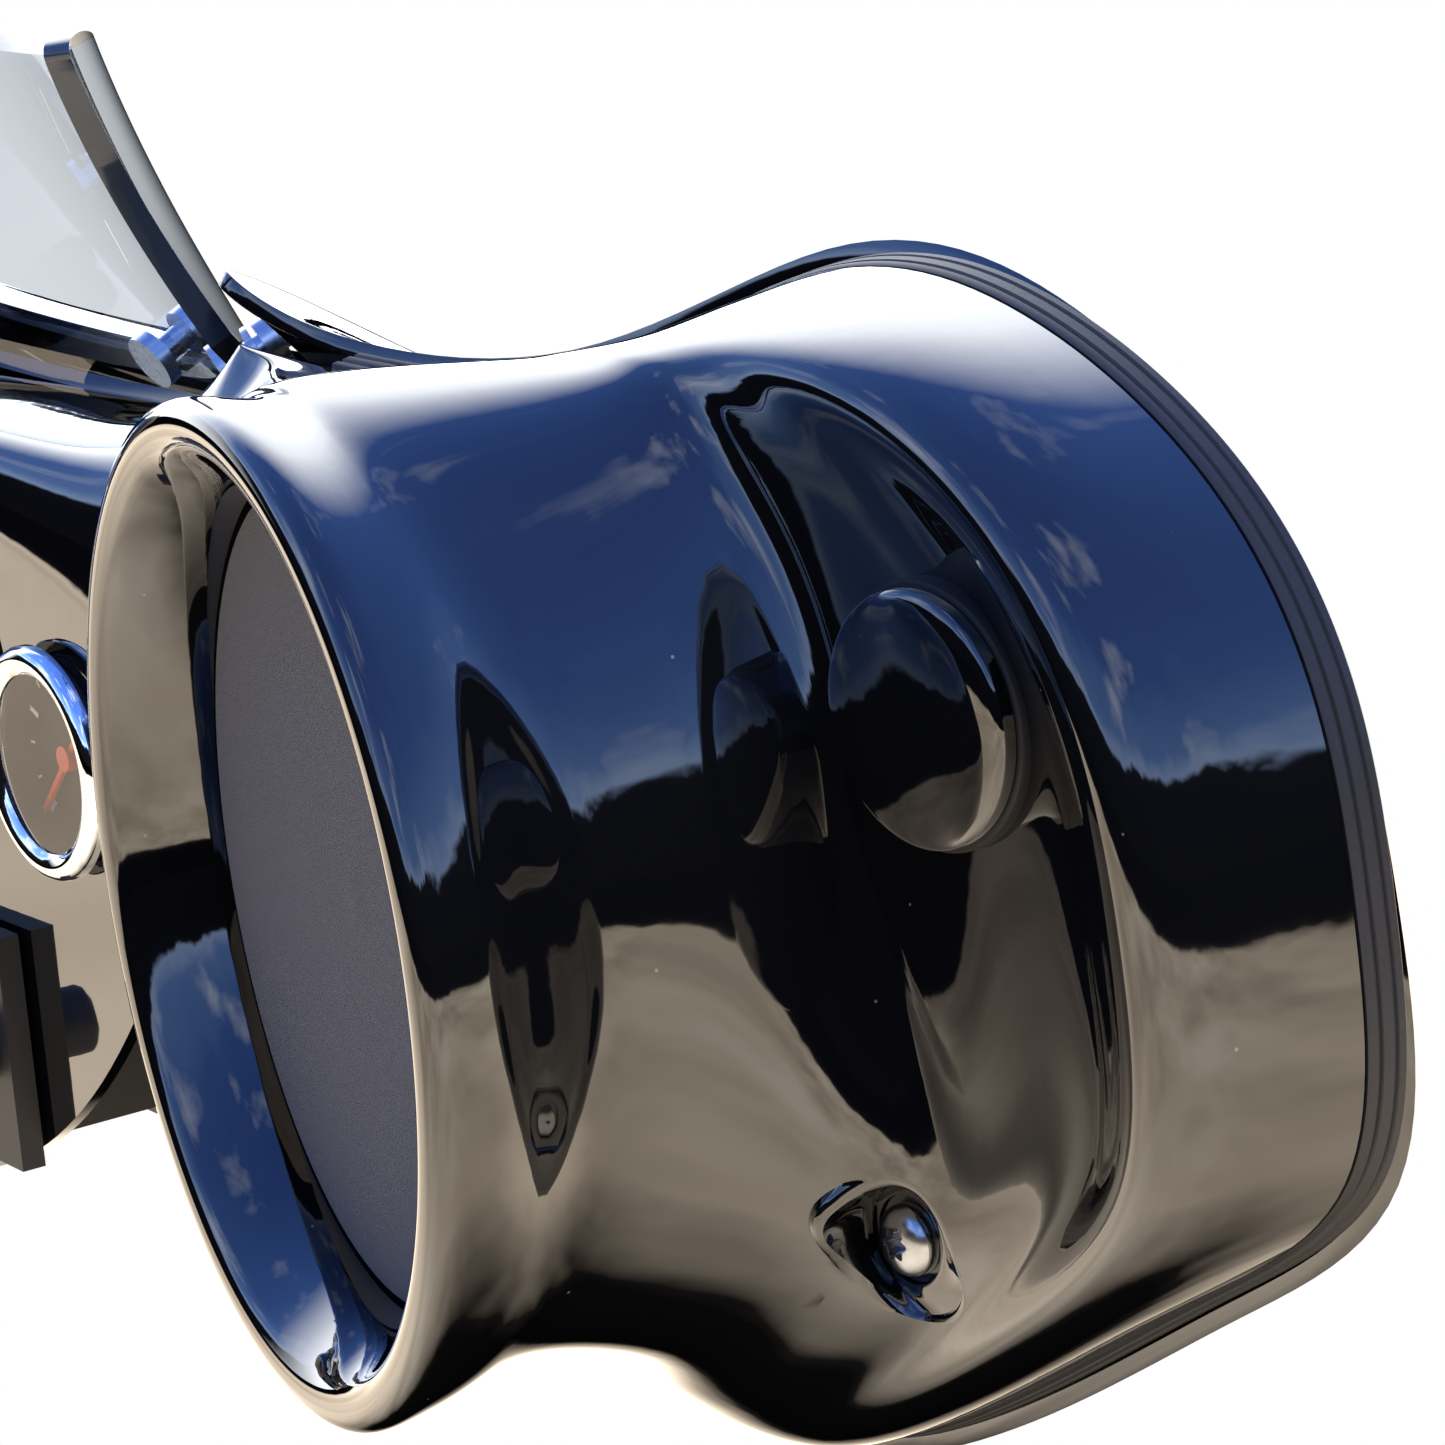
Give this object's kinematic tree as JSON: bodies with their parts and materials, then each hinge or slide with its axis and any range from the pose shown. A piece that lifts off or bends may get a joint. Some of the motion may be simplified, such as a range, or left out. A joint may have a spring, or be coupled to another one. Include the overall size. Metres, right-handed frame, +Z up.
{
  "type": "motorcycle fork fairing with speaker pods",
  "caption": "Gloss black fork-mounted batwing fairing with speaker pods, instruments, receiver, windshield, headlamp and domed mirror-hole plugs.",
  "frame": {"origin": "middle of the four-bolt pattern on the underside of the fork bracket plate", "axes": "+X to the rider's right, +Y forward, +Z up"},
  "size_m": [0.8196, 0.3064, 0.3209],
  "materials": {
    "paint": "gloss",
    "gasket_rubber": "satin",
    "soft_rubber": "matte",
    "shield": "clear",
    "chrome": "polished",
    "zinc": "satin",
    "black_plastic": "matte",
    "key_plastic": "matte",
    "grille_cloth": "matte",
    "steel_paint": "satin",
    "ferrite": "matte",
    "cone_paper": "matte",
    "dial": "matte",
    "needle": "matte",
    "clear": "clear",
    "screen": "gloss"
  },
  "bodies": {
    "fairing": {"inner_fairing": "paint", "outer_fairing": "paint", "fairing_gasket": "gasket_rubber", "windshield": "shield", "windshield_screws": "chrome", "mirror_hole_plugs": "paint", "plug_seal_rings": "soft_rubber", "plug_nuts": "zinc", "shell_screws": "zinc", "shell_screw_nuts": "zinc", "speaker_adapter_rings": "black_plastic", "grille_frames": "black_plastic", "grille_cloths": "grille_cloth", "speaker_baskets": "steel_paint", "speaker_magnets": "ferrite", "speaker_screws": "zinc", "surround_right": "soft_rubber", "surround_left": "soft_rubber", "gauge_housings": "black_plastic", "gauge_bezels": "chrome", "gauge_dials": "dial", "gauge_lenses": "clear", "receiver_case": "zinc", "receiver_face": "black_plastic", "receiver_screen": "screen", "headlamp_bucket": "black_plastic", "headlamp_reflector": "chrome", "headlamp_bulb": "clear", "headlamp_glass": "clear", "headlamp_ring": "chrome", "headlamp_ring_screws": "zinc", "fork_bracket": "steel_paint", "shell_struts": "steel_paint", "strut_bolts": "zinc", "wiring_harness": "soft_rubber"},
    "cone_right_body": {"cone_right": "cone_paper", "dust_cap_right": "cone_paper"},
    "cone_left_body": {"cone_left": "cone_paper", "dust_cap_left": "cone_paper"},
    "speed_needle_body": {"speed_needle": "needle"},
    "engine_speed_needle_body": {"engine_speed_needle": "needle"},
    "fuel_needle_body": {"fuel_needle": "needle"},
    "voltage_needle_body": {"voltage_needle": "needle"},
    "volume_knob_body": {"volume_knob": "black_plastic"},
    "button_up_body": {"button_up": "key_plastic"},
    "button_down_body": {"button_down": "key_plastic"},
    "button_mode_body": {"button_mode": "key_plastic"},
    "button_source_body": {"button_source": "key_plastic"}
  },
  "joints": [
    {"name": "cone_right_travel", "type": "slide", "parent": "fairing", "child": "cone_right_body", "axis": [-0.1908, -0.9816, 0], "range_m": [-0.004, 0.004], "stiffness_N_per_m": 1500},
    {"name": "cone_left_travel", "type": "slide", "parent": "fairing", "child": "cone_left_body", "axis": [0.1908, -0.9816, 0], "range_m": [-0.004, 0.004], "stiffness_N_per_m": 1500},
    {"name": "speed_needle_sweep", "type": "hinge", "parent": "fairing", "child": "speed_needle_body", "pos_m": [-0.044, -0.0917, 0.114], "axis": [0, 1, 0], "range_deg": [0, 270]},
    {"name": "engine_speed_needle_sweep", "type": "hinge", "parent": "fairing", "child": "engine_speed_needle_body", "pos_m": [0.044, -0.0917, 0.114], "axis": [0, 1, 0], "range_deg": [0, 270]},
    {"name": "fuel_needle_sweep", "type": "hinge", "parent": "fairing", "child": "fuel_needle_body", "pos_m": [0.111, -0.0917, 0.107], "axis": [0, 1, 0], "range_deg": [0, 90]},
    {"name": "voltage_needle_sweep", "type": "hinge", "parent": "fairing", "child": "voltage_needle_body", "pos_m": [-0.111, -0.0917, 0.107], "axis": [0, 1, 0], "range_deg": [0, 90]},
    {"name": "volume_knob_turn", "type": "hinge", "parent": "fairing", "child": "volume_knob_body", "pos_m": [0.0755, -0.0919, 0.044], "axis": [0, -1, 0], "continuous": true},
    {"name": "button_up_press", "type": "slide", "parent": "fairing", "child": "button_up_body", "axis": [0, 1, 0], "range_m": [0, 0.0015], "stiffness_N_per_m": 600},
    {"name": "button_down_press", "type": "slide", "parent": "fairing", "child": "button_down_body", "axis": [0, 1, 0], "range_m": [0, 0.0015], "stiffness_N_per_m": 600},
    {"name": "button_mode_press", "type": "slide", "parent": "fairing", "child": "button_mode_body", "axis": [0, 1, 0], "range_m": [0, 0.0015], "stiffness_N_per_m": 600},
    {"name": "button_source_press", "type": "slide", "parent": "fairing", "child": "button_source_body", "axis": [0, 1, 0], "range_m": [0, 0.0015], "stiffness_N_per_m": 600}
  ]
}
